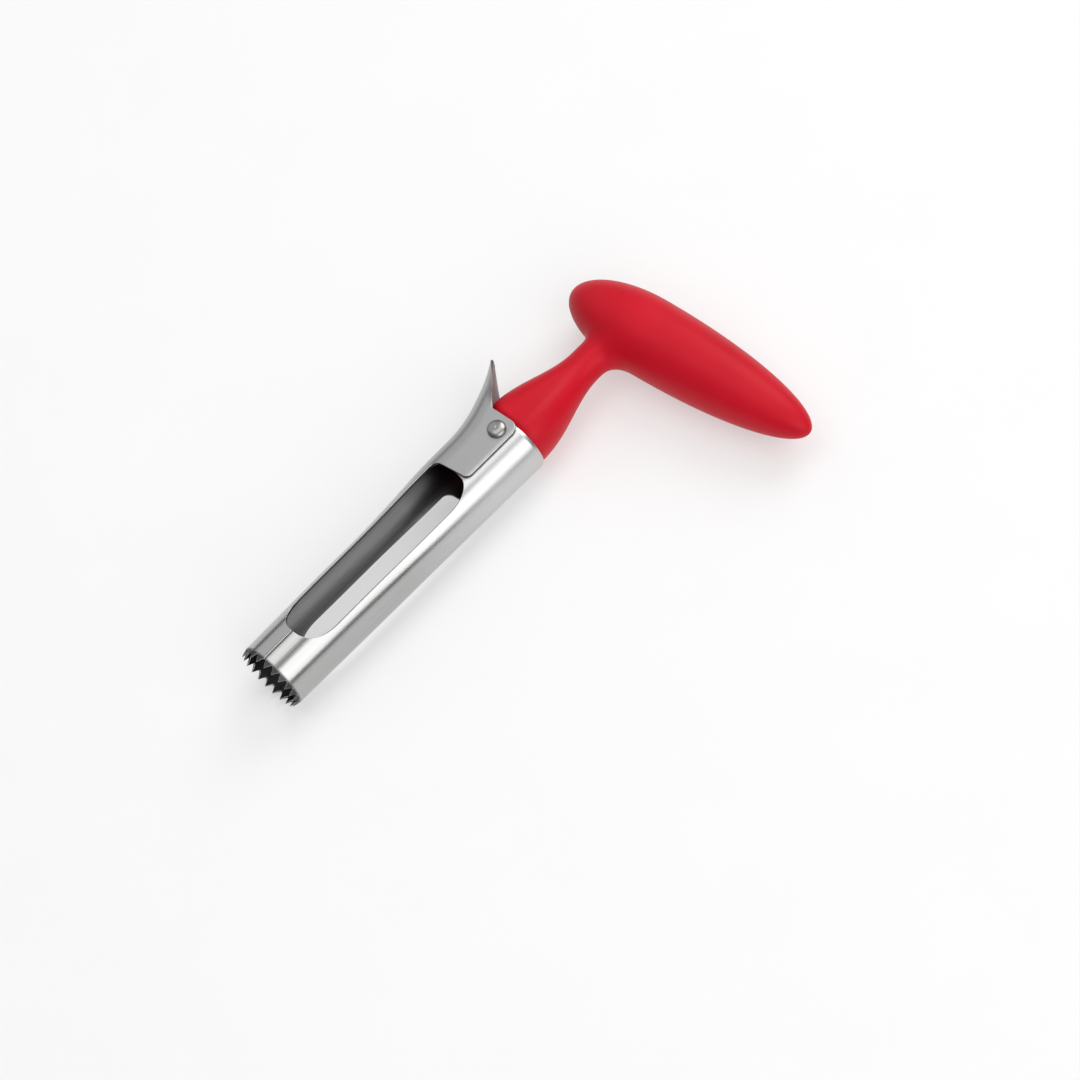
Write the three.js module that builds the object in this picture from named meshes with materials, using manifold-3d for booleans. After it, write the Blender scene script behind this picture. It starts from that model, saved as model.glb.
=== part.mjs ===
// Apple corer with an opening barrel: two toothed steel half tubes, a rivet and a T handle.
// Millimetres. While it is drawn, x runs along the barrel from the tooth tips (x = 0) to the handle,
// +y is the side of the thumb lever and z runs along the rivet. At the end the whole model is placed
// so that its origin is the centre of the bottom of its box, as it lies on a table.
import * as THREE from 'three';
import { mergeVertices } from 'three/addons/utils/BufferGeometryUtils.js';
import Module from 'manifold-3d';

const wasm = await Module();
wasm.setup();

// ---- driving dimensions ----------------------------------------------------------------------

// barrel
const barrelLength = 108.7;      // tooth tips to the rim at the handle
const mouthRadius = 11.5;        // outside, at the teeth
const rimRadius = 12.7;          // outside, at the rim
const sheet = 0.8;               // wall of both stamped halves
const fitGap = 0.3;              // between pieces that lie against each other
const seamGap = 0.3;             // between the two halves along the seam

// teeth
const teethPerHalf = 11;
const toothDepth = 2.2;
const grindLength = 2.4;         // outside bevel, from the tips
const tipInset = 0.55;           // how far the bevel brings the tips in
const rootFlat = 0.5;            // width of the flat between two teeth
const tipFlat = 0.25;            // width left on a tooth's point

// side windows
const windowStart = 14.4;
const windowEnd = 85.3;
const windowHalfWidth = 7.9;
const windowEndLength = 12.0;    // length of each rounded end
const windowRoundness = 2.5;     // exponent of the rounded ends: 2 is an ellipse, more is squarer

// pivot and ears
const pivotFromRim = 5.0;
const rivetRadius = 1.5;
const pivotClearance = 0.1;      // radial, rivet shank in its holes
const headRadius = 3.05;
const headEdge = 0.45;           // straight edge of the domed head
const headHeight = 1.5;
const dimpleRadius = 0.7;
const dimpleDepth = 0.25;
const plugHalfThickness = 8.8;   // from the axis to a flat of the plug
const flatReach = 3.5;           // the plug's and the collar's flats run this far past the pivot line
const earOverlap = 4.8;          // how far the ears reach past the pivot line
const earBelowPivot = 18.2;      // pivot to the lower edge of the ears
const earAbovePivot = 5.2;       // pivot to the upper edge of the ears
const earSlant = 1.2;            // fall of the lower edge across an ear
const earTopSlant = 0.7;         // and of the upper edge
const earCorner = 2.4;
const earTopCorner = 3.2;
const earShoulder = 3.0;         // radius where a window's side turns into the ear's lower edge
const collarEdge = 4.0;          // pivot line to the fixed half's cut edge, on the lever's side
const collarCorner = 1.0;

// channel and thumb lever
const channelCentre = 4.4;       // where the flat ears turn into the curved back
const channelDepth = 8.85;       // curved back, from channelCentre outwards
const channelBlendStart = 30;    // the round strip starts turning into the channel here
const collarBlendEnd = 68;       // the fixed half has its collar's section from here on
const leverStartBelowPivot = 11.7;
const leverRise = 11.5;          // how far the point stands out from the channel's back
const leverReach = 19.6;         // pivot to the point, along the barrel
const leverPointHalfWidth = 3.2;
const leverPointDepth = 4.6;
const leverRoot = 2.0;           // the lever's edges start this far outside channelCentre
const leverWaist = 0.6;          // how far its edges are drawn in from straight
const narrowBelowTop = 1.0;      // the channel starts narrowing this far below the ears' top edge
const narrowPastPoint = 3.0;     // and would be at its narrowest this far past the lever's point

// handle
const plugLength = 16.7;         // inside the barrel
const neckRadius = 5.7;          // narrowest place of the stem
const neckFromRim = 31.6;
const flareLong = 6.2;           // growth of the stem into the bar, towards the bar's long end
const flareShort = 1.8;          // towards its short end
const flareSide = 1.3;           // and along the rivet
const flareDepth = 1.2;          // the flare ends this far inside the bar
const barFromRim = 50.2;         // rim to the middle line of the bar
const barTilt = 6.4;             // degrees, the long end leans away from the teeth
const barRadius = 12.65;
const barLongEnd = 71.6;         // from the barrel's axis, along the bar
const barShortEnd = 21.6;
const barWidestAt = 8.0;         // towards the long end
const barLongRoundness = 2.15;   // exponent of the long end's profile

// ---- values that follow from them ------------------------------------------------------------

const pivotX = barrelLength - pivotFromRim;
const flatInside = plugHalfThickness + fitGap;
const flatOutside = flatInside + sheet;
const earInside = flatOutside + fitGap;
const earOutside = earInside + sheet;
const leverStartX = pivotX - leverStartBelowPivot;
const leverPointX = pivotX + leverReach;
const channelBack = channelCentre + channelDepth;
const leverPointY = channelBack + leverRise;
const earLowX = pivotX - earBelowPivot;
const earTopX = pivotX + earAbovePivot;
const neckX = barrelLength + neckFromRim;
const barX = barrelLength + barFromRim;
const toothPitch = Math.PI / teethPerHalf;

const mix = (a, b, share) => a + (b - a) * share;
const smooth = (x, from, to) => {
  const share = Math.min(1, Math.max(0, (x - from) / (to - from)));
  return share * share * (3 - 2 * share);
};
const barrelRadius = (x) => mix(mouthRadius, rimRadius, x / barrelLength);
const grind = (x) => tipInset * Math.max(0, 1 - x / grindLength);

// ---- solids ----------------------------------------------------------------------------------

const toSolid = (geometry) => {
  const bare = geometry.clone();
  bare.deleteAttribute('normal');
  bare.deleteAttribute('uv');
  const merged = mergeVertices(bare, 1e-5);
  return new wasm.Manifold(new wasm.Mesh({
    numProp: 3,
    vertProperties: Float32Array.from(merged.attributes.position.array),
    triVerts: Uint32Array.from(merged.index.array),
  }));
};

const toGeometry = (solid) => {
  const mesh = solid.getMesh();
  const geometry = new THREE.BufferGeometry();
  geometry.setAttribute('position', new THREE.BufferAttribute(Float32Array.from(mesh.vertProperties), 3));
  geometry.setIndex(Array.from(mesh.triVerts));
  geometry.computeVertexNormals();
  return geometry;
};

// Closed surface from rows of points: every row is a closed loop, and the caps join the points
// that capPairs names, so a thin curved section gets a thin curved end.
const closedLoft = (rows, capTriangles) => {
  const count = rows[0].length;
  const points = rows.flat();
  const triangles = [];
  for (let row = 0; row + 1 < rows.length; row += 1) {
    for (let i = 0; i < count; i += 1) {
      const a = row * count + i;
      const b = row * count + ((i + 1) % count);
      triangles.push(a, b, b + count, a, b + count, a + count);
    }
  }
  const last = (rows.length - 1) * count;
  for (const [a, b, c] of capTriangles) {
    triangles.push(a, c, b);
    triangles.push(last + a, last + b, last + c);
  }
  const geometry = new THREE.BufferGeometry();
  geometry.setAttribute('position', new THREE.Float32BufferAttribute(points.flat(), 3));
  geometry.setIndex(triangles);
  return signedVolume(points, triangles) > 0 ? geometry : flipped(geometry);
};

const signedVolume = (points, triangles) => {
  let volume = 0;
  for (let i = 0; i < triangles.length; i += 3) {
    const [a, b, c] = [0, 1, 2].map((k) => new THREE.Vector3(...points[triangles[i + k]]));
    volume += a.dot(b.cross(c)) / 6;
  }
  return volume;
};

const flipped = (geometry) => {
  const index = Array.from(geometry.index.array);
  for (let i = 0; i < index.length; i += 3) {
    [index[i], index[i + 1]] = [index[i + 1], index[i]];
  }
  geometry.setIndex(index);
  return geometry;
};

// Caps of a sheet's section, whose loop is its outside followed by its inside, backwards.
const sheetCap = (side) => {
  const triangles = [];
  for (let i = 0; i + 1 < side; i += 1) {
    const inner = 2 * side - 1 - i;
    triangles.push([i, i + 1, inner - 1], [i, inner - 1, inner]);
  }
  return triangles;
};

const fanCap = (count) => Array.from({ length: count - 2 }, (_, i) => [0, i + 1, i + 2]);

// Solid of a side view: an outline in x and y, right through the barrel along z.
const throughHeight = 60;
const sideView = (outline) => {
  const shape = new THREE.Shape(outline.map(([x, y]) => new THREE.Vector2(x, y)));
  const geometry = new THREE.ExtrudeGeometry(shape, { depth: throughHeight, bevelEnabled: false });
  geometry.translate(0, 0, -throughHeight / 2);
  return toSolid(geometry);
};

// Circle's quarter as points, turning from one angle to another about a centre.
const arc = (x, y, radius, from, to, steps = 5) => Array.from({ length: steps + 1 }, (_, i) => {
  const angle = mix(from, to, i / steps);
  return [x + radius * Math.cos(angle), y + radius * Math.sin(angle)];
});

// Half of a window's rounded end, from its middle out to its side, as distances along x and y.
const windowEndCurve = (steps = 8) => Array.from({ length: steps + 1 }, (_, i) => {
  const angle = (Math.PI / 2) * (i / steps);
  const power = 2 / windowRoundness;
  return [
    windowEndLength * (1 - Math.cos(angle) ** power),
    windowHalfWidth * Math.sin(angle) ** power,
  ];
});

const pivotHole = () => {
  const geometry = new THREE.CylinderGeometry(
    rivetRadius + pivotClearance, rivetRadius + pivotClearance, throughHeight, 24,
  );
  geometry.rotateX(Math.PI / 2);
  geometry.translate(pivotX, 0, 0);
  return toSolid(geometry);
};

// Gaps between the teeth: one wedge for each, its narrow end at the root. The first and the last
// lie on the seam, so each half keeps whole teeth.
const toothGaps = () => {
  const pitchWidth = 2 * (mouthRadius - tipInset) * Math.tan(toothPitch / 2);
  const outside = 1;             // the wedges start this far outside the tips
  const slope = (pitchWidth - tipFlat - rootFlat) / 2 / toothDepth;
  const wide = rootFlat / 2 + slope * (toothDepth + outside);
  const wedge = new THREE.Shape([
    new THREE.Vector2(toothDepth, -rootFlat / 2),
    new THREE.Vector2(toothDepth, rootFlat / 2),
    new THREE.Vector2(-outside, wide),
    new THREE.Vector2(-outside, -wide),
  ]);
  const inner = mouthRadius - 3 * sheet;
  const reach = 5 * sheet;
  const gaps = [];
  for (let k = 0; k < 2 * teethPerHalf; k += 1) {
    const geometry = new THREE.ExtrudeGeometry(wedge, { depth: reach, bevelEnabled: false });
    geometry.translate(0, 0, inner);
    geometry.rotateX(k * toothPitch);
    gaps.push(toSolid(geometry));
  }
  return gaps;
};

const arcSteps = 14;
const halfTurn = Array.from({ length: 2 * arcSteps + 1 }, (_, i) => (Math.PI / 2) * (i / arcSteps - 1));
const legEnd = 6.5;              // how far the sections run past the seam before they are trimmed

// Section of the moving half at x: two straight legs and a curved back towards +y.
const movingSection = (x, inset) => {
  const turn = smooth(x, channelBlendStart, earLowX);
  const rise = leverRise * Math.max(0, (x - leverStartX) / (leverPointX - leverStartX)) ** 2;
  const narrow = smooth(x, earTopX - narrowBelowTop, leverPointX + narrowPastPoint);
  const outer = barrelRadius(x) - (inset ? 0 : grind(x));
  const depth = mix(mix(outer, channelDepth, turn), leverPointDepth, narrow);
  const half = mix(mix(outer, earOutside, turn), leverPointHalfWidth, narrow) - inset;
  const centre = mix(0, channelBack + rise - depth, turn);
  const back = halfTurn.map((angle) => [
    x, centre + (depth - inset) * Math.cos(angle), half * Math.sin(angle),
  ]);
  return [[x, -legEnd, -half], ...back, [x, -legEnd, half]];
};

// Section of the fixed half at x: a round back towards -y, which turns into the collar's two flats
// with half an ellipse between them.
const fixedSection = (x, inset) => {
  const turn = smooth(x, channelBlendStart, collarBlendEnd);
  const outer = barrelRadius(x) - (inset ? 0 : grind(x));
  const flatEnd = flatReach * turn;
  const depth = outer - flatEnd - inset;
  const half = mix(outer, flatOutside, turn) - inset;
  const back = halfTurn.map((angle) => [x, -flatEnd - depth * Math.cos(angle), half * Math.sin(angle)]);
  return [[x, legEnd, -half], ...back, [x, legEnd, half]];
};

const stampedSheet = (stations, section) => {
  const rows = stations.map((x) => [...section(x, 0), ...section(x, sheet).reverse()]);
  return toSolid(closedLoft(rows, sheetCap(rows[0].length / 2)));
};

const evenStations = (from, to, count) => Array.from({ length: count + 1 }, (_, i) => mix(from, to, i / count));

const makeFixedHalf = () => {
  const past = rimRadius + 10;
  const endCurve = windowEndCurve();
  const outline = [
    [-1, -past], [-1, -seamGap / 2],
    ...endCurve.map(([x, y]) => [windowStart + x, -Math.max(y, seamGap / 2)]),
    ...endCurve.toReversed().map(([x, y]) => [windowEnd - x, -y]).filter(([, y]) => y < -1),
    ...arc(windowEnd + collarCorner, collarEdge - collarCorner, collarCorner, Math.PI, Math.PI / 2),
    [barrelLength + 1, collarEdge], [barrelLength + 1, -past],
  ];
  const stations = [0, grindLength, ...evenStations(channelBlendStart, barrelLength, 6)];
  let solid = stampedSheet(stations, fixedSection).intersect(sideView(outline));
  for (const gap of toothGaps()) {
    solid = solid.subtract(gap);
  }
  return solid.subtract(pivotHole());
};

const makeMovingHalf = () => {
  const past = leverPointY + 10;
  const endCurve = windowEndCurve();
  const leverRootY = channelCentre + leverRoot;
  const shoulderX = earLowX - earSlant - earShoulder;
  const leverEdge = evenStations(0, 1, 4).map((share) => [
    mix(earTopX - earTopSlant, leverPointX, share),
    mix(leverRootY, leverPointY, share) - 4 * leverWaist * share * (1 - share),
  ]);
  const outline = [
    [-1, past], [-1, seamGap / 2],
    ...endCurve.map(([x, y]) => [windowStart + x, Math.max(y, seamGap / 2)]),
    ...arc(shoulderX, windowHalfWidth - earShoulder, earShoulder, Math.PI / 2, 0),
    ...arc(earLowX + earCorner, earCorner - earOverlap, earCorner, Math.PI, 1.5 * Math.PI),
    ...arc(earTopX - earTopCorner, earTopCorner - earOverlap, earTopCorner, 1.5 * Math.PI, 2 * Math.PI),
    ...leverEdge,
    [leverPointX + 1, past],
  ];
  const stations = [
    0, grindLength, ...evenStations(channelBlendStart, earLowX, 7),
    ...evenStations(leverStartX, leverPointX, 14),
  ];
  let solid = stampedSheet(stations, movingSection).intersect(sideView(outline));
  for (const gap of toothGaps()) {
    solid = solid.subtract(gap);
  }
  return solid.subtract(pivotHole());
};

// The rivet: one turned profile, from the middle of one head to the middle of the other.
const makeRivet = () => {
  const seat = earOutside + fitGap / 2;
  const domeSteps = 6;
  const dome = Array.from({ length: domeSteps + 1 }, (_, i) => {
    const angle = (Math.PI / 2) * (i / domeSteps);
    const radius = mix(headRadius, dimpleRadius, 1 - Math.cos(angle));
    return new THREE.Vector2(radius, seat + headEdge + (headHeight - headEdge) * Math.sin(angle));
  });
  const top = [
    new THREE.Vector2(rivetRadius, seat),
    new THREE.Vector2(headRadius, seat),
    ...dome,
    new THREE.Vector2(0, seat + headHeight - dimpleDepth),
  ];
  const bottom = top.map((p) => new THREE.Vector2(p.x, -p.y)).reverse();
  const geometry = new THREE.LatheGeometry([...bottom, ...top], 24);
  geometry.rotateX(Math.PI / 2);
  geometry.translate(pivotX, 0, 0);
  return toSolid(geometry);
};

// One ring of the handle at x: two flats at half, joined by half ellipses. The ring reaches towards
// the bar's long end (-y) and its short end (+y), and its flats run flatEnd past the axis each way.
const handleRing = (x, reachLong, reachShort, half, flatEnd) => {
  const count = 40;
  return Array.from({ length: count }, (_, i) => {
    const angle = (2 * Math.PI * (i + 0.5)) / count;
    const side = Math.sign(Math.cos(angle));
    const reach = side < 0 ? reachLong : reachShort;
    return [x, side * flatEnd + (reach - flatEnd) * Math.cos(angle), half * Math.sin(angle)];
  });
};

// The plug fills the collar but for a gap.
const plugRing = (x) => {
  const reach = barrelRadius(Math.min(x, barrelLength)) - sheet - fitGap;
  return handleRing(x, reach, reach, plugHalfThickness, flatReach);
};

// The stem falls from the collar's section to a round neck in one slow wave.
const stemRing = (x) => {
  const share = Math.min(1, (x - barrelLength) / neckFromRim) ** 1.1;
  const wave = 0.5 + 0.5 * Math.cos(Math.PI * share);
  const reach = mix(neckRadius, rimRadius - sheet - fitGap, wave);
  return handleRing(x, reach, reach, mix(neckRadius, flatOutside, wave), flatReach * wave);
};

// From the neck on it flares out into the bar.
const flareEnd = barX - barRadius + flareDepth;
const flareRing = (x) => {
  const growth = Math.min(1, (x - neckX) / (flareEnd - neckX)) ** 2;
  return handleRing(
    x, neckRadius + flareLong * growth, neckRadius + flareShort * growth, neckRadius + flareSide * growth, 0,
  );
};

const makeHandle = () => {
  const shoulderX = barrelLength + fitGap;
  const rings = [
    plugRing(barrelLength - plugLength), plugRing(shoulderX),
    ...evenStations(shoulderX, neckX, 16).map(stemRing),
    ...evenStations(neckX, flareEnd, 5).slice(1).map(flareRing),
    flareRing(flareEnd + 2 * flareDepth),
  ];
  const stemSolid = toSolid(closedLoft(rings, fanCap(rings[0].length)));
  const barSteps = 30;
  const profile = Array.from({ length: barSteps + 1 }, (_, i) => {
    const side = Math.cos((Math.PI * i) / barSteps);
    const long = side < 0;
    const length = long ? barLongEnd - barWidestAt : barShortEnd + barWidestAt;
    const power = long ? barLongRoundness : 2;
    const radius = barRadius * Math.max(0, 1 - Math.abs(side) ** power) ** 0.5;
    return new THREE.Vector2(i === 0 || i === barSteps ? 0 : radius, side * length - barWidestAt);
  }).reverse();
  const bar = new THREE.LatheGeometry(profile, 40);
  bar.rotateZ(THREE.MathUtils.degToRad(barTilt));
  bar.translate(barX, 0, 0);
  return toSolid(bar).add(stemSolid).subtract(pivotHole());
};

// ---- the object ------------------------------------------------------------------------------

const steel = (color, roughness) => new THREE.MeshStandardMaterial({ color, roughness, metalness: 1 });
const pieces = [
  ['handle', makeHandle(), new THREE.MeshStandardMaterial({ color: 0xd22434, roughness: 0.45, metalness: 0 })],
  ['fixed_barrel_half', makeFixedHalf(), steel(0xc4c4c2, 0.35)],
  ['moving_barrel_half', makeMovingHalf(), steel(0xb9bab8, 0.35)],
  ['hinge_rivet', makeRivet(), steel(0xa9aaa8, 0.25)],
];

const corer = new THREE.Group();
for (const [name, solid, material] of pieces) {
  const mesh = new THREE.Mesh(toGeometry(solid), material);
  mesh.name = name;
  corer.add(mesh);
}
const box = new THREE.Box3().setFromObject(corer);
const middle = box.getCenter(new THREE.Vector3());
corer.position.set(-middle.x, -middle.y, -box.min.z);
corer.updateMatrixWorld(true);

export default corer;
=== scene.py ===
"""An apple corer with an opening barrel: two toothed steel halves, a rivet and a red T handle."""
import math

import bmesh
import bpy
import numpy as np
from mathutils import Matrix, Vector


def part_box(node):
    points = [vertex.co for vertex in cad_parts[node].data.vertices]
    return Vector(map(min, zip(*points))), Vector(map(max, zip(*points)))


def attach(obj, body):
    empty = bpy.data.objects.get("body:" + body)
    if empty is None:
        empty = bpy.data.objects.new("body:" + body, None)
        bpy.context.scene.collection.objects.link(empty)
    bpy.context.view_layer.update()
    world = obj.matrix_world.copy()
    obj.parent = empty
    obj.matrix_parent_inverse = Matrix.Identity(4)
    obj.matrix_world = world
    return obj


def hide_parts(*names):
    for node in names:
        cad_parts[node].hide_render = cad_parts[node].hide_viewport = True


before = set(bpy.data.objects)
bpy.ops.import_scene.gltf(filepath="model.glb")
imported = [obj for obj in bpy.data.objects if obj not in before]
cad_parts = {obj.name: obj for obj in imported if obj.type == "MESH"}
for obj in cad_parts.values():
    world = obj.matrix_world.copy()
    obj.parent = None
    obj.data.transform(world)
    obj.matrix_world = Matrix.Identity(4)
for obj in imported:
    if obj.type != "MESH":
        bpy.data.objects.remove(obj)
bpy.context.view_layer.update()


# ---------------------------------------------------------------------------------------------
# Handle: one satin red moulding. An egg-shaped bar lies across the top of a waisted stem, and the
# stem ends in a flat-sided plug that fills the barrel's collar. It is injection moulded in one
# shot, so bar and stem run into each other in one skin, with a fine and even moulded grain.
# ---------------------------------------------------------------------------------------------

# Every piece is drawn in millimetres on the barrel's own axis: x from the tooth tips towards the
# handle, y towards the thumb lever, z along the rivet.
MM = 0.001
barrel_low, barrel_high = (np.array(corner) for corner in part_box("fixed_barrel_half"))
rivet_low, rivet_high = (np.array(corner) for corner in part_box("hinge_rivet"))
axis_start = np.array([barrel_low[0], *(rivet_low + rivet_high)[1:] / 2])
barrel_length = (barrel_high[0] - barrel_low[0]) / MM

bar_x = barrel_length + 50.2
bar_tilt = math.radians(6.4)
bar_radius = 12.6
bar_long_end, bar_short_end, bar_widest = 71.5, 21.5, 8.0
stem_base, stem_neck, stem_length = 11.6, 5.7, 31.6
plug_length, plug_half, plug_taper = 16.7, 8.8, 0.18
collar_half, flat_reach = 9.9, 3.5
skin_size = 0.95                 # distance between the points of the handle's skin


def place(points):
    """Millimetres on the barrel's axis to metres in the frame."""
    return np.asarray(points) * MM + axis_start


def mix(a, b, share):
    """a where share is 0, b where it is 1, and straight between them."""
    return a + (b - a) * share


def ease(x, start, end):
    """0 before start, 1 after end, and a smooth s-curve between them."""
    share = np.clip((x - start) / (end - start), 0, 1)
    return share * share * (3 - 2 * share)


def lesser(a, b, width):
    """The smaller of a and b, with the corner between them rounded where they differ by under width."""
    near = np.maximum(width - np.abs(a - b), 0)
    return np.minimum(a, b) - near ** 2 / (4 * width)


def bar_field(x, y, z):
    """Below 0 inside the bar: a round section, whose radius follows half an ellipse each way."""
    along = (x - bar_x) * math.sin(bar_tilt) - y * math.cos(bar_tilt) - bar_widest
    across = np.hypot((x - bar_x) * math.cos(bar_tilt) + y * math.sin(bar_tilt), z)
    long_side = (np.maximum(along, 0) / (bar_long_end - bar_widest)) ** 2.15
    short_side = (np.maximum(-along, 0) / (bar_short_end + bar_widest)) ** 2
    return bar_radius * (np.sqrt(long_side + short_side + (across / bar_radius) ** 2 + 1e-9) - 1)


def round_ended(y, z, reach, half, flat_end):
    """Below 0 inside a section with two flats at half, which run flat_end past the middle each way,
    and with half an ellipse past them, out to reach."""
    past = np.maximum(np.abs(y) - flat_end, 0)
    return half * (np.sqrt((past / (reach - flat_end)) ** 2 + (z / half) ** 2 + 1e-9) - 1)


def stem_field(x, y, z):
    """Below 0 inside plug and stem. The plug is the barrel's section less its wall; just past the rim
    it swells to the collar's outside, and from there it falls to a round neck in one slow wave."""
    wave = 0.5 + 0.5 * np.cos(np.pi * np.clip((x - barrel_length) / stem_length, 0, 1) ** 1.1)
    taper = plug_taper * np.clip((barrel_length - x) / plug_length, 0, 1)
    swell = ease(x, barrel_length - 0.4, barrel_length + 1.6)
    reach = mix(stem_neck, stem_base - taper, wave)
    half = mix(stem_neck, mix(plug_half, collar_half, swell), wave)
    body = round_ended(y, z, reach, half, flat_reach * wave)
    return np.maximum(-lesser(-body, x - barrel_length + plug_length, 1.0), x - bar_x)


def handle_field(points):
    """Bar and stem joined by a fillet, wide under the long end and tight under the short one."""
    x, y, z = points.T
    fillet = mix(6.5, 2.4, ease(y, -8, 4))
    return lesser(bar_field(x, y, z), stem_field(x, y, z), fillet)


def pulled_onto(field, points, steps):
    """Points moved down the field's slope until the field is 0 there (Newton's method)."""
    probe, longest_move, least_steep = 0.02, 0.8, 0.02
    for _ in range(steps):
        value = field(points)
        slope = np.stack([
            (field(points + probe * way) - field(points - probe * way)) / (2 * probe)
            for way in np.eye(3)
        ], axis=1)
        steep = np.maximum((slope ** 2).sum(axis=1), least_steep)
        move = (value / steep)[:, None] * slope
        length = np.linalg.norm(move, axis=1, keepdims=True)
        points = points - move * np.minimum(1, longest_move / np.maximum(length, 1e-9))
    return points


def grid_faces(rows, columns, close_rows=False, close_columns=False):
    """Four-sided faces of a grid of points, whose last row or column may join the first."""
    row = np.arange(rows if close_rows else rows - 1)[:, None]
    column = np.arange(columns if close_columns else columns - 1)[None, :]
    next_row, next_column = (row + 1) % rows, (column + 1) % columns
    return np.stack([
        row * columns + column, row * columns + next_column,
        next_row * columns + next_column, next_row * columns + column,
    ], axis=-1).reshape(-1, 4)


def make_object(name, points, faces):
    """A mesh object from points in the frame and faces of any size."""
    mesh = bpy.data.meshes.new(name)
    mesh.from_pydata(np.asarray(points).tolist(), [], [list(face) for face in faces])
    mesh.validate()
    made = bpy.data.objects.new(name, mesh)
    bpy.context.scene.collection.objects.link(made)
    return made


def applied(piece):
    """Its modifiers become its mesh."""
    graph = bpy.context.evaluated_depsgraph_get()
    mesh = bpy.data.meshes.new_from_object(piece.evaluated_get(graph))
    piece.modifiers.clear()
    piece.data = mesh
    return mesh


def face_out(mesh):
    """Turns every face of a closed mesh outwards."""
    work = bmesh.new()
    work.from_mesh(mesh)
    bmesh.ops.remove_doubles(work, verts=work.verts, dist=1e-7)
    bmesh.ops.recalc_face_normals(work, faces=work.faces)
    work.to_mesh(mesh)
    work.free()


def solid_of_turning(stations, radii):
    """A rough round solid along x, in millimetres: rings of one radius each, and a flat at both ends."""
    sides = 48
    turn = np.linspace(0, 2 * np.pi, sides, endpoint=False)
    stations, radii = np.asarray(stations)[:, None], np.asarray(radii)[:, None]
    rings = np.stack(
        np.broadcast_arrays(stations, radii * np.cos(turn), radii * np.sin(turn)), axis=-1,
    ).reshape(-1, 3)
    faces = [list(face) for face in grid_faces(len(stations), sides, close_columns=True)]
    faces += [list(range(sides))[::-1], list(range(len(rings) - sides, len(rings)))]
    return rings, faces


def rough_handle():
    """Bar and stem as two rough solids that pass through each other, to be skinned over. They only
    have to lie within a few millimetres of the handle, because the skin is pulled onto its field."""
    half_bar, bar_middle = 46.5, 25.0
    side = np.cos(np.linspace(0, np.pi, 40)[1:-1])
    bar, bar_faces = solid_of_turning(
        bar_middle + half_bar * side, bar_radius * np.sqrt(1 - side ** 2),
    )
    along, across, up = bar.T
    bar = np.stack([
        bar_x + along * math.sin(bar_tilt) + across * math.cos(bar_tilt),
        -along * math.cos(bar_tilt) + across * math.sin(bar_tilt), up,
    ], axis=1)
    stem, stem_faces = solid_of_turning(
        [barrel_length - plug_length, barrel_length, barrel_length + 18, bar_x - 14, bar_x],
        [8.6, 10.0, 8.0, 6.4, 7.0],
    )
    stem_faces = [[index + len(bar) for index in face] for face in stem_faces]
    return np.vstack([bar, stem]), bar_faces + stem_faces


def evened(points, edges, steps, field):
    """Each point moves towards the mean of its neighbours, then back onto the field."""
    count = np.bincount(edges.ravel(), minlength=len(points))[:, None]
    for _ in range(steps):
        total = np.zeros_like(points)
        np.add.at(total, edges[:, 0], points[edges[:, 1]])
        np.add.at(total, edges[:, 1], points[edges[:, 0]])
        points = pulled_onto(field, mix(points, total / count, 0.5), 2)
    return points


def make_handle():
    """The rough handle gets one even skin, and the skin is pulled onto the handle's field."""
    points, faces = rough_handle()
    handle = make_object("red_t_handle", points, faces)
    face_out(handle.data)
    skin = handle.modifiers.new("skin", "REMESH")
    skin.mode, skin.voxel_size = "VOXEL", skin_size
    mesh = applied(handle)
    points = np.empty(3 * len(mesh.vertices))
    mesh.vertices.foreach_get("co", points)
    edges = np.empty(2 * len(mesh.edges), dtype=int)
    mesh.edges.foreach_get("vertices", edges)
    points = pulled_onto(handle_field, points.reshape(-1, 3), 14)
    points = evened(points, edges.reshape(-1, 2), 8, handle_field)
    mesh.vertices.foreach_set("co", place(points).ravel())
    mesh.shade_smooth()
    mesh.update()
    return handle


class Value:
    """One output of a shader node. Sums, differences and products of it add their Math nodes."""

    def __init__(self, finish, output):
        self.finish = finish
        self.output = output

    def reckon(self, operation, first, second):
        return self.finish.node("ShaderNodeMath", {"operation": operation}, {0: first, 1: second})

    def __add__(self, other):
        return self.reckon("ADD", self, other)

    def __radd__(self, other):
        return self.reckon("ADD", other, self)

    def __sub__(self, other):
        return self.reckon("SUBTRACT", self, other)

    def __rsub__(self, other):
        return self.reckon("SUBTRACT", other, self)

    def __mul__(self, other):
        return self.reckon("MULTIPLY", self, other)

    def __rmul__(self, other):
        return self.reckon("MULTIPLY", other, self)


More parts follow.
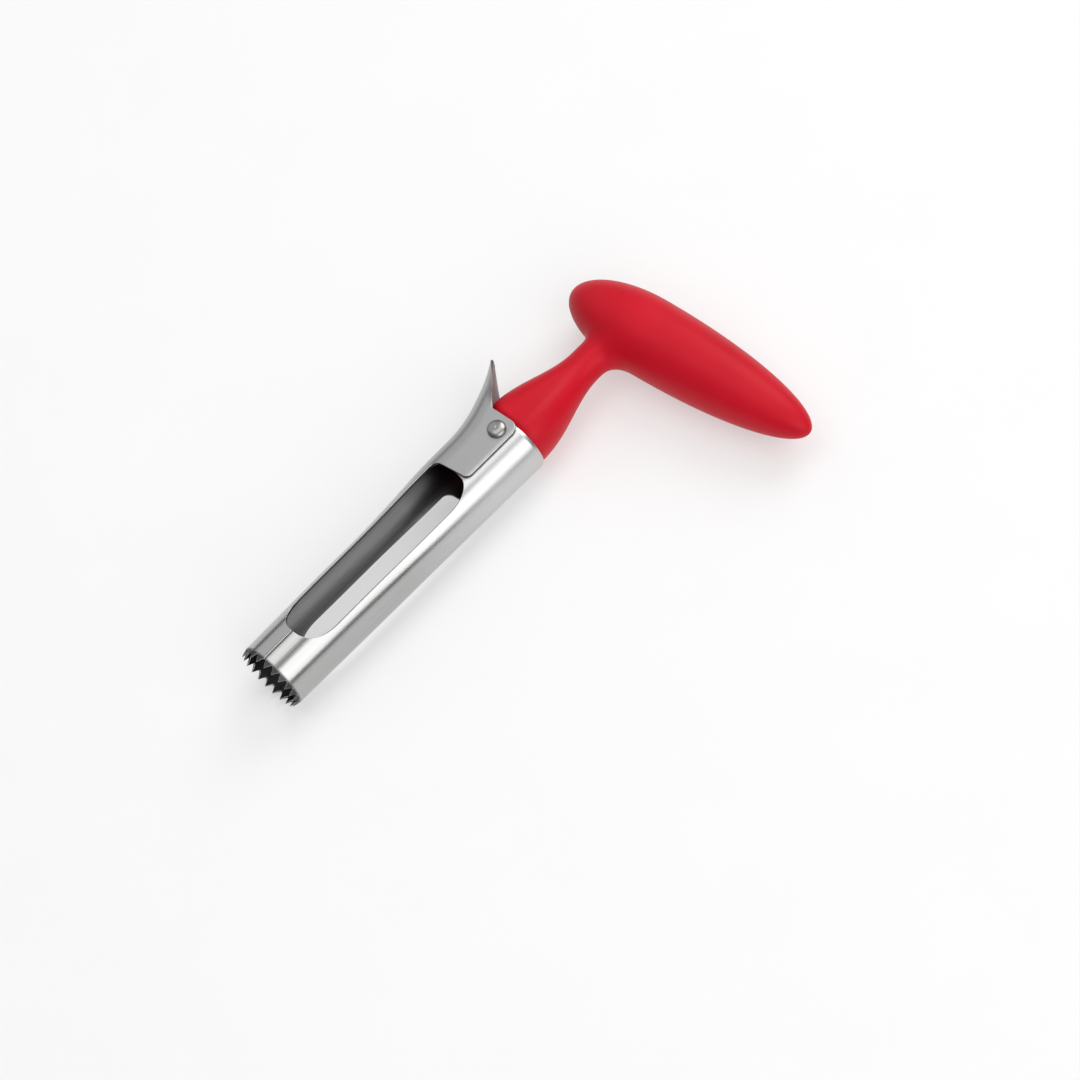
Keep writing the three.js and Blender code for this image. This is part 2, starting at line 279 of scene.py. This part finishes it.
class Finish:
    """A material being made: its constants go on the shader, and node() adds what varies."""

    def __init__(self, name, constants):
        self.material = bpy.data.materials.new(name)
        self.material.use_nodes = True
        self.tree = self.material.node_tree
        self.shader = self.tree.nodes["Principled BSDF"]
        for socket, value in constants.items():
            self.shader.inputs[socket].default_value = value

    def feed(self, socket, value):
        """A link from a Value, or a constant."""
        if isinstance(value, Value):
            self.tree.links.new(value.output, socket)
        else:
            socket.default_value = value

    def node(self, kind, settings, sockets, output=0):
        """Any node: its settings first, then the values or links of its sockets."""
        made = self.tree.nodes.new(kind)
        for name, value in settings.items():
            setattr(made, name, value)
        for name, value in sockets.items():
            self.feed(made.inputs[name], value)
        return Value(self, made.outputs[output])

    def noise(self, stretch, detail=2.0, roughness=0.5):
        """Noise on the piece's own coordinates, in cycles per metre along x, y and z."""
        coordinates = self.node("ShaderNodeTexCoord", {}, {}, "Object")
        stretched = self.node("ShaderNodeMapping", {}, {"Vector": coordinates, "Scale": stretch})
        return self.node(
            "ShaderNodeTexNoise", {},
            {"Vector": stretched, "Scale": 1.0, "Detail": detail, "Roughness": roughness}, "Fac",
        )

    def along_barrel(self):
        """x in the frame, in metres."""
        coordinates = self.node("ShaderNodeTexCoord", {}, {}, "Object")
        return self.node("ShaderNodeSeparateXYZ", {}, {"Vector": coordinates}, "X")

    def colours(self, factor, low, high):
        """From one colour to another as factor goes from 0 to 1."""
        low, high = (one if isinstance(one, Value) else (*one, 1) for one in (low, high))
        return self.node("ShaderNodeMix", {"data_type": "RGBA"}, {"Factor": factor, 6: low, 7: high}, 2)

    def ramp(self, factor, low, high):
        """0 where factor is at low, 1 where it is at high."""
        return self.node(
            "ShaderNodeMapRange", {}, {"Value": factor, "From Min": low, "From Max": high},
        )

    def bump(self, height, distance, strength):
        """Fine relief of a height, in metres where the height is 1."""
        return self.node(
            "ShaderNodeBump", {}, {"Height": height, "Distance": distance, "Strength": strength},
        )

    def drive(self, **varying):
        """What varies goes to the shader's own sockets, and the material is done."""
        for name, value in varying.items():
            self.feed(self.shader.inputs[name.replace("_", " ")], value)
        return self.material


def red_moulding():
    """Satin red plastic: a fine moulded grain, and a bloom so faint that only highlights show it."""
    finish = Finish("satin_red_plastic", {"Specular IOR Level": 0.16})
    bloom = finish.noise((45, 45, 45), detail=3)
    grain = finish.noise((2600, 2600, 2600), detail=1)
    return finish.drive(
        Base_Color=finish.colours(finish.ramp(bloom, 0.3, 0.7), (0.52, 0.004, 0.016), (0.58, 0.006, 0.020)),
        Roughness=0.40 + 0.07 * bloom,
        Normal=finish.bump(grain, 0.00002, 0.35),
    )


handle = make_handle()
handle.data.materials.clear()
handle.data.materials.append(red_moulding())
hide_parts("handle")
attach(handle, "handle_and_fixed_half")


# ---------------------------------------------------------------------------------------------
# Fixed half of the barrel: stainless sheet, stamped flat with its teeth and the side windows'
# edges, then rolled to a half tube that widens a little towards the handle. Its top end is the
# collar, with two flats that the rivet holds against the plug.
# ---------------------------------------------------------------------------------------------
sheet_wall = 0.8
mouth_radius, rim_radius = 11.5, 12.7
seam_gap = 0.3
teeth, tooth_depth, tooth_root = 11, 2.2, 3.6
grind_length, grind_depth = 2.4, 0.55
ear_outside, collar_edge = 11.0, 4.0
collar_blend_start, collar_blend_end = 30.0, 68.0
window_start, window_end, window_half, window_tip = 14.4, 85.3, 7.9, 12.0
window_power = 2 / 2.5           # an ellipse would be 1, and less is squarer
mouth_land = 3.6                 # the seam's rows are closer together up to here
edge_roll = 0.12                 # rounding of the cut edges
leg_scale = 9.0                  # millimetres of straight leg for one radian of the section's turn
columns_per_tooth = 10


def place_x(x):
    """Millimetres from the tips to x in the frame."""
    return float(place([x, 0, 0])[0])


def barrel_radius(x):
    """Straight taper from mouth to rim."""
    return mix(mouth_radius, rim_radius, x / barrel_length)


def taken_off(x):
    """What the rolled corner of the rim and the ground tips take off the outside."""
    roll = 0.4 * ease(x, barrel_length - 1.3, barrel_length + 0.4)
    return roll + grind_depth * np.maximum(0, 1 - x / grind_length)


def tooth_line(q):
    """Distance from the tips to the toothed edge, for q from -1 to 1 across one half."""
    phase = np.abs(((q + 1) / 2 * teeth) % 1 - 0.5) * 2
    return tooth_depth * np.sin(phase * np.pi / 2) ** 1.3


def fixed_section(x):
    """Where the flats end, how deep the round back is past that, and half the width across them."""
    collar = ease(x, collar_blend_start, collar_blend_end)
    flat_end = flat_reach * collar
    depth = barrel_radius(x) - taken_off(x) - flat_end
    half = mix(barrel_radius(x), collar_half, collar) - taken_off(x)
    return flat_end, depth, half


def fixed_surface(x, turn):
    """Outside of the fixed half. turn is 0 along the back and a quarter turn where the flats start;
    up to there the section is half an ellipse, and past it two straight legs."""
    flat_end, depth, half = fixed_section(x)
    leg = np.maximum(np.abs(turn) - np.pi / 2, 0)
    angle = np.clip(np.abs(turn), 0, np.pi / 2)
    return x, -flat_end - depth * np.cos(angle) + leg * leg_scale, np.sign(turn) * half * np.sin(angle)


def fixed_turn(x, y):
    """The turn at which the fixed half's outside reaches y."""
    flat_end, depth, _ = fixed_section(x)
    out = (-y - flat_end) / depth
    return np.where(out > 0, np.arccos(np.clip(out, -1, 1)), np.pi / 2 + (y + flat_end) / leg_scale)


def window_curve(count):
    """A window's rounded end, from its middle out to its side: distances along and across."""
    angle = np.linspace(0, np.pi / 2, count)
    return np.stack([
        window_tip * (1 - np.cos(angle) ** window_power), window_half * np.sin(angle) ** window_power,
    ], axis=1)


def line(start, end, count):
    """Points from start up to, but without, end."""
    share = np.arange(count)[:, None] / count
    return mix(np.array(start, float), np.array(end, float), share)


def corner(centre, radius, start, end, count):
    """Points of an arc about centre, in degrees."""
    angle = np.radians(np.linspace(start, end, count))
    return np.stack([centre[0] + radius * np.cos(angle), centre[1] + radius * np.sin(angle)], axis=1)


def half_sheet(name, edge, spine, surface, turn_at):
    """Skin of one half. Row by row it runs from one cut edge over the back to the other edge; the
    first row follows the teeth. edge holds the cut edge's x and y, spine each row's x on the back."""
    q = np.linspace(-1, 1, teeth * columns_per_tooth + 1)[None, :]
    edge_x, edge_y = edge[:, :1], edge[:, 1:]
    reach = turn_at(edge_x, edge_y)
    x = mix(spine[:, None], edge_x, np.abs(q) ** 1.5)
    x = x + tooth_line(q) * np.maximum(0, 1 - x / tooth_root)
    points = np.stack(np.broadcast_arrays(*surface(x, q * reach)), axis=-1)
    half = make_object(name, place(points.reshape(-1, 3)), grid_faces(*points.shape[:2]))
    thin = half.vertex_groups.new(name="wall")
    wall = 1 - grind_depth * np.maximum(0, 1 - x / grind_length) / sheet_wall
    for weight in np.unique(np.round(wall, 2)):
        thin.add(np.flatnonzero(np.round(wall, 2).ravel() == weight).tolist(), float(weight), "REPLACE")
    return half


def make_wall(half, faces_in, painted_collar_tone):
    """The skin gets its wall on the inside; the inside and the cut edges get their own materials.
    faces_in says that the skin's faces point at the axis, and are turned first."""
    if faces_in:
        half.data.flip_normals()
    wall = half.modifiers.new("wall", "SOLIDIFY")
    wall.thickness, wall.offset = sheet_wall * MM, -1
    wall.vertex_group = "wall"
    wall.material_offset, wall.material_offset_rim = 1, 2
    rounded = half.modifiers.new("deburred", "BEVEL")
    rounded.width, rounded.segments, rounded.material = edge_roll * MM, 2, 3
    rounded.limit_method, rounded.angle_limit = "ANGLE", math.radians(50)
    rounded.use_clamp_overlap = False
    for material in (brushed_steel(painted_collar_tone), shaded_inner_steel(), shaded_cut_steel(), deburred_steel()):
        half.data.materials.append(material)
    mesh = applied(half)
    mesh.shade_smooth()
    mesh.set_sharp_from_angle(angle=math.radians(60))


def brushed_steel(painted_collar_tone):
    """Stainless sheet, brushed along the barrel: long fine lines in gloss, height and tone. The
    bevel that sharpens the teeth is ground later, so it is duller, and it is painted nearly black as
    painted shade. The collar and the ears are brushed duller than the strip, and their tone is painted
    light, set for each half by the argument: lighter on the fixed half's collar, as a painted highlight."""
    finish = Finish("brushed_stainless", {"Metallic": 1.0})
    lines = finish.noise((28, 2600, 2600), detail=3)
    broad = finish.noise((9, 260, 260), detail=2)
    smudge = finish.noise((40, 40, 40), detail=3)
    x = finish.along_barrel()
    ground_and_shade = finish.ramp(x, place_x(3.0), place_x(2.2))
    collar = finish.ramp(x, place_x(50), place_x(90))
    sheet = finish.colours(lines, (0.40, 0.40, 0.397), (0.49, 0.49, 0.486))
    # Painted light: the collar's tone is set for each half, lighter than the strip on the fixed half as a
    # painted highlight.
    sheet = finish.colours(collar, sheet, (painted_collar_tone, painted_collar_tone, painted_collar_tone))
    return finish.drive(
        # Painted shade: the ground bevel at the tips is painted nearly black.
        Base_Color=finish.colours(ground_and_shade, sheet, (0.07, 0.07, 0.069)),
        Roughness=0.16 + 0.07 * lines + 0.04 * broad + 0.03 * smudge + 0.16 * ground_and_shade + 0.12 * collar,
        Normal=finish.bump(lines, 0.00002, 0.35),
    )


def shaded_inner_steel():
    """The inside is painted darker than the outside, as painted shade: darkest of all inside the mouth
    and under the collar, where little light reaches. The lever's inside is brushed like its outside, but
    duller."""
    finish = Finish("inner_stainless_painted_shade", {"Metallic": 1.0})
    lines = finish.noise((20, 1500, 1500), detail=3)
    x = finish.along_barrel()
    # Painted shade: the whole inside is darker than the outside.
    inside_shade = finish.colours(lines, (0.24, 0.24, 0.243), (0.38, 0.38, 0.383))
    # Painted shade: nearly black inside the mouth and under the collar.
    mouth_shade = finish.colours(finish.ramp(x, place_x(16), place_x(4)), inside_shade, (0.06, 0.06, 0.061))
    collar_shade = finish.colours(finish.ramp(x, place_x(70), place_x(86)), mouth_shade, (0.05, 0.05, 0.051))
    on_lever = finish.ramp(x, place_x(barrel_length - 4), place_x(barrel_length))
    return finish.drive(
        Base_Color=finish.colours(on_lever, collar_shade, (0.42, 0.42, 0.417)),
        Roughness=0.30 + 0.12 * lines + 0.30 * on_lever,
        Normal=finish.bump(lines, 0.00002, 0.4),
    )


def shaded_cut_steel():
    """Sheared edges: a torn face, painted nearly black as painted shade."""
    finish = Finish("cut_edge_stainless_painted_shade", {"Metallic": 1.0})
    marks = finish.noise((900, 900, 900), detail=2)
    return finish.drive(
        # Painted shade: the cut faces are painted nearly black.
        Base_Color=finish.colours(marks, (0.03, 0.03, 0.03), (0.07, 0.07, 0.07)),
        Roughness=0.30 + 0.16 * marks,
    )


def deburred_steel():
    """The corners of the cut edges, tumbled smooth."""
    finish = Finish("deburred_stainless", {"Metallic": 1.0})
    marks = finish.noise((900, 900, 900), detail=2)
    return finish.drive(
        Base_Color=finish.colours(marks, (0.42, 0.42, 0.417), (0.52, 0.52, 0.516)),
        Roughness=0.16 + 0.12 * marks,
    )


def fixed_edge():
    """Cut edge of the fixed half, from the mouth along the seam and the window up to the rim."""
    end = window_curve(22)
    lower = np.stack([window_start + end[:, 0], -np.maximum(end[:, 1], seam_gap / 2)], axis=1)
    upper = np.stack([window_end - end[::-1, 0], -end[::-1, 1]], axis=1)
    upper = upper[upper[:, 1] < -2.6]
    flats_low, flats_corner, rim_land = window_end + 0.2, 1.2, 1.4
    corner_centre = (flats_low + flats_corner, collar_edge - flats_corner)
    return np.vstack([
        line((0, -seam_gap / 2), (mouth_land, -seam_gap / 2), 9),
        line((mouth_land, -seam_gap / 2), lower[0], 7),
        lower[:-1],
        line(lower[-1], upper[0], 30),
        upper,
        line((upper[-1][0] + 0.1, -2.2), (flats_low, collar_edge - flats_corner), 6),
        corner(corner_centre, flats_corner, 180, 90, 6),
        line((flats_low + 1.5 * flats_corner, collar_edge), (barrel_length - rim_land, collar_edge), 22),
        line((barrel_length - rim_land, collar_edge), (barrel_length, collar_edge), 7),
        [[barrel_length, collar_edge]],
    ])


edge = fixed_edge()
fixed_half = half_sheet("fixed_barrel_half_sheet", edge, edge[:, 0], fixed_surface, fixed_turn)
# The fixed half's collar gets a light tone, as a painted highlight.
make_wall(fixed_half, faces_in=True, painted_collar_tone=0.60)
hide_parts("fixed_barrel_half")
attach(fixed_half, "handle_and_fixed_half")


# ---------------------------------------------------------------------------------------------
# Moving half of the barrel: the same sheet, and the same half tube with its teeth. Past the
# windows it is pressed to a channel, whose sides are the two flat ears that the rivet joins, and
# the channel's back curves out and is cut to a point: the thumb lever.
# ---------------------------------------------------------------------------------------------
pivot_x = ((rivet_low + rivet_high)[0] / 2 - barrel_low[0]) / MM
ear_low_x, ear_top_x = pivot_x - 18.2, pivot_x + 5.2
ear_overlap, ear_slant, ear_corner, ear_top_corner, ear_top_slant = 4.8, 1.2, 2.4, 3.2, 0.7
channel_centre, channel_depth, channel_start = 4.4, 8.85, 30.0
lever_start_x, lever_point_x, lever_rise = pivot_x - 11.7, pivot_x + 19.3, 11.5
lever_point_half, lever_point_depth, lever_root, lever_waist = 2.9, 4.6, 2.0, 0.6
lever_rows = 26
margin_roll = 0.13               # the ears' long edges are rolled in by this much


def moving_section(x):
    """Centre, depth and half width of the channel's curved back at x."""
    turn = ease(x, channel_start, ear_low_x)
    narrow = ease(x, ear_top_x - 1, lever_point_x + 3)
    outer = barrel_radius(x) - grind_depth * np.maximum(0, 1 - x / grind_length)
    rise = lever_rise * (np.maximum(0, x - lever_start_x) / (lever_point_x - lever_start_x)) ** 2
    depth = mix(mix(outer, channel_depth, turn), lever_point_depth, narrow)
    half = mix(mix(outer, ear_outside, turn), lever_point_half, narrow)
    centre = turn * (channel_centre + channel_depth + rise - depth)
    return centre, depth, half


def moving_surface(x, turn):
    """Outside of the moving half: half an ellipse over the back, then straight legs."""
    centre, depth, half = moving_section(x)
    leg = np.maximum(np.abs(turn) - np.pi / 2, 0)
    angle = np.clip(np.abs(turn), 0, np.pi / 2)
    y = centre + depth * np.cos(angle) - leg * leg_scale
    margin = margin_roll * ease(-y, ear_overlap - 1.2, ear_overlap + 0.5)
    return x, y, np.sign(turn) * (half * np.sin(angle) - margin)


def moving_turn(x, y):
    """The turn at which the moving half's outside reaches y."""
    centre, depth, _ = moving_section(x)
    out = (y - centre) / depth
    return np.where(out > 0, np.arccos(np.clip(out, -1, 1)), np.pi / 2 + (centre - y) / leg_scale)


def moving_edge():
    """Cut edge of the moving half, from the mouth along the seam, window, ear and lever to the point."""
    end = window_curve(22)
    lower = np.stack([window_start + end[:, 0], np.maximum(end[:, 1], seam_gap / 2)], axis=1)
    shoulder = corner((ear_low_x - ear_slant - 3, window_half - 3), 3, 90, 0, 9)
    ear_low = corner((ear_low_x + ear_corner, ear_corner - ear_overlap), ear_corner, 180, 270, 10)
    top = corner((ear_top_x - ear_top_corner, ear_top_corner - ear_overlap), ear_top_corner, 270, 360, 9)
    root = np.array([ear_top_x - ear_top_slant, channel_centre + lever_root])
    point = np.array([lever_point_x, channel_centre + channel_depth + lever_rise - 0.05])
    share = np.linspace(0, 1, lever_rows)[:, None]
    lever = mix(root, point, share) - 4 * share * (1 - share) * np.array([0, lever_waist])
    return np.vstack([
        line((0, seam_gap / 2), (mouth_land, seam_gap / 2), 9),
        line((mouth_land, seam_gap / 2), lower[0], 7),
        lower[:-1],
        line(lower[-1], shoulder[0], 30),
        shoulder,
        line(shoulder[-1], ear_low[0], 9)[1:],
        ear_low,
        line(ear_low[-1], top[0], 16)[1:],
        top,
        line(top[-1], root, 10)[1:],
        lever,
    ])


def moving_spine(edge):
    """Each row's x on the back. By the ear's slanted top the rows lag behind the edge, so that none
    of them cross."""
    start = int(np.argmax(edge[:, 0] > pivot_x - 8))
    root = len(edge) - lever_rows
    spine = edge[:, 0].copy()
    spine[start:] = np.interp(
        np.arange(start, len(edge)), [start, root - 10, root, len(edge) - 1],
        [edge[start, 0], ear_top_x - 3.9, ear_top_x - 1.9, lever_point_x - 0.3],
    )
    return spine


edge = moving_edge()
spine = moving_spine(edge)
moving_half = half_sheet("moving_barrel_half_sheet", edge, spine, moving_surface, moving_turn)
# The moving half's collar and ears get their own tone of painted light.
make_wall(moving_half, faces_in=False, painted_collar_tone=0.42)
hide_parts("moving_barrel_half")
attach(moving_half, "moving_half")


# ---------------------------------------------------------------------------------------------
# Rivet: one stainless pin through both ears, both flats and the plug, with a domed head at each
# end. The heads are formed by a press, which leaves a small dimple in the crown.
# ---------------------------------------------------------------------------------------------
rivet_radius, head_radius, head_height, head_edge = 1.5, 3.05, 1.5, 0.3
dimple_radius, dimple_depth = 0.5, 0.12
head_seat = ear_outside + 0.12


def rivet_profile():
    """Radius and height of the rivet from the middle of one crown to the middle of the other."""
    angle = np.linspace(0, np.pi / 2, 22)
    dome_radius = mix(dimple_radius, head_radius, np.cos(angle) ** 0.9)
    dome_height = head_seat + head_edge + (head_height - head_edge) * np.sin(angle)
    inward = np.linspace(1, 0, 8)[1:]
    dimple = head_seat + head_height - dimple_depth * np.cos(inward * np.pi / 2) ** 2
    radius = np.concatenate([
        [rivet_radius, rivet_radius, head_radius - 0.12, head_radius - 0.03, head_radius],
        dome_radius, dimple_radius * inward,
    ])
    height = np.concatenate([
        [0, head_seat, head_seat, head_seat + 0.04, head_seat + 0.14], dome_height, dimple,
    ])
    return np.concatenate([radius[:0:-1], radius]), np.concatenate([-height[:0:-1], height])


def make_rivet():
    """The profile turned about the pivot."""
    radius, height = rivet_profile()
    around = np.linspace(0, 2 * np.pi, 64, endpoint=False)
    points = np.stack([
        pivot_x + radius[:, None] * np.cos(around), radius[:, None] * np.sin(around),
        np.broadcast_to(height[:, None], (len(height), len(around))),
    ], axis=-1)
    faces = grid_faces(len(height), len(around), close_columns=True)
    rivet = make_object("domed_rivet", place(points.reshape(-1, 3)), faces)
    face_out(rivet.data)
    rivet.data.shade_smooth()
    rivet.data.set_sharp_from_angle(angle=math.radians(50))
    return rivet


def rivet_steel():
    """Pressed stainless: plain and even, with faint marks from the forming tool."""
    finish = Finish("rivet_stainless", {"Metallic": 1.0})
    marks = finish.noise((1500, 1500, 1500), detail=2)
    return finish.drive(
        Base_Color=finish.colours(marks, (0.31, 0.31, 0.308), (0.35, 0.35, 0.347)),
        Roughness=0.27 + 0.04 * marks,
        Normal=finish.bump(marks, 0.00001, 0.15),
    )


rivet = make_rivet()
rivet.data.materials.append(rivet_steel())
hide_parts("hinge_rivet")
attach(rivet, "handle_and_fixed_half")


# ---------------------------------------------------------------------------------------------
# Studio: a pale floor that is lit a little from below, a soft pale surround, and four wide lamps,
# overhead, on both sides of the barrel and beyond the handle. The camera looks down on the tool
# through a long lens.
# ---------------------------------------------------------------------------------------------
view_right = np.array([0.689, -0.7007, -0.1855])
view_up = np.array([0.689, 0.5537, 0.4677])
view_back = np.array([-0.225, -0.45, 0.8643])
aim = place([87.6, -31.8, 0.0])
lens, distance = 200.0, 1.825


def make_floor():
    """A square of pale matt board, lit a little from below, large enough to fill every view."""
    half = 6.0
    floor = make_object(
        "floor", [(-half, -half, 0), (half, -half, 0), (half, half, 0), (-half, half, 0)], [(0, 1, 2, 3)],
    )
    finish = Finish("lit_board", {
        "Roughness": 0.9, "Specular IOR Level": 0.1,
        "Emission Color": (1, 1, 1, 1), "Emission Strength": 0.42,
    })
    fibre = finish.noise((30, 30, 30), detail=3)
    floor.data.materials.append(finish.drive(
        Base_Color=finish.colours(fibre, (0.49, 0.49, 0.49), (0.51, 0.51, 0.51)),
    ))


def make_lamp(name, direction, far, size, brightness):
    """A soft lamp that faces the tool from a direction: its size along the barrel and across it."""
    lamp = bpy.data.objects.new(name, bpy.data.lights.new(name, "AREA"))
    lamp.data.shape, lamp.data.size, lamp.data.size_y = "RECTANGLE", *size
    lamp.data.energy = brightness * math.pi * size[0] * size[1]
    way = np.array(direction, float)
    way /= np.linalg.norm(way)
    lamp.location = aim + way * far
    lamp.rotation_euler = Vector(way).to_track_quat("Z", "Y").to_euler()
    bpy.context.scene.collection.objects.link(lamp)


def make_surround():
    """Even pale light from all sides, but for a dim band just above the horizon."""
    world = bpy.data.worlds.new("surround")
    world.use_nodes = True
    tree = world.node_tree
    direction = tree.nodes.new("ShaderNodeTexCoord")
    parts = tree.nodes.new("ShaderNodeSeparateXYZ")
    band = tree.nodes.new("ShaderNodeMapRange")
    band.inputs["From Min"].default_value, band.inputs["From Max"].default_value = 0.16, 0.30
    band.inputs["To Min"].default_value, band.inputs["To Max"].default_value = 0.06, 0.35
    background = tree.nodes["Background"]
    background.inputs["Color"].default_value = (0.94, 0.94, 0.94, 1)
    tree.links.new(direction.outputs["Generated"], parts.inputs["Vector"])
    tree.links.new(parts.outputs["Z"], band.inputs["Value"])
    tree.links.new(band.outputs["Result"], background.inputs["Strength"])
    bpy.context.scene.world = world


def make_camera():
    camera = bpy.data.objects.new("camera", bpy.data.cameras.new("camera"))
    camera.data.lens, camera.data.sensor_width = lens, 36.0
    camera.data.clip_end = 50.0
    turn = Matrix(np.stack([view_right, view_up, view_back], axis=1).tolist()).to_4x4()
    turn.translation = aim + view_back * distance
    camera.matrix_world = turn
    bpy.context.scene.collection.objects.link(camera)
    bpy.context.scene.camera = camera


make_floor()
make_lamp("overhead_lamp", (0.0, 0.135, 1.0), 1.6, (1.6, 0.92), 1.4)
make_lamp("side_lamp", (0.0, -0.78, 0.626), 1.7, (1.8, 1.56), 1.95)
make_lamp("lever_lamp", (0.0, 0.8, 0.56), 1.7, (1.8, 1.4), 0.5)
make_lamp("handle_lamp", (1.0, 0.15, 0.9), 1.6, (1.0, 1.0), 3.3)
make_surround()
bpy.context.scene.view_settings.view_transform = "Standard"
make_camera()
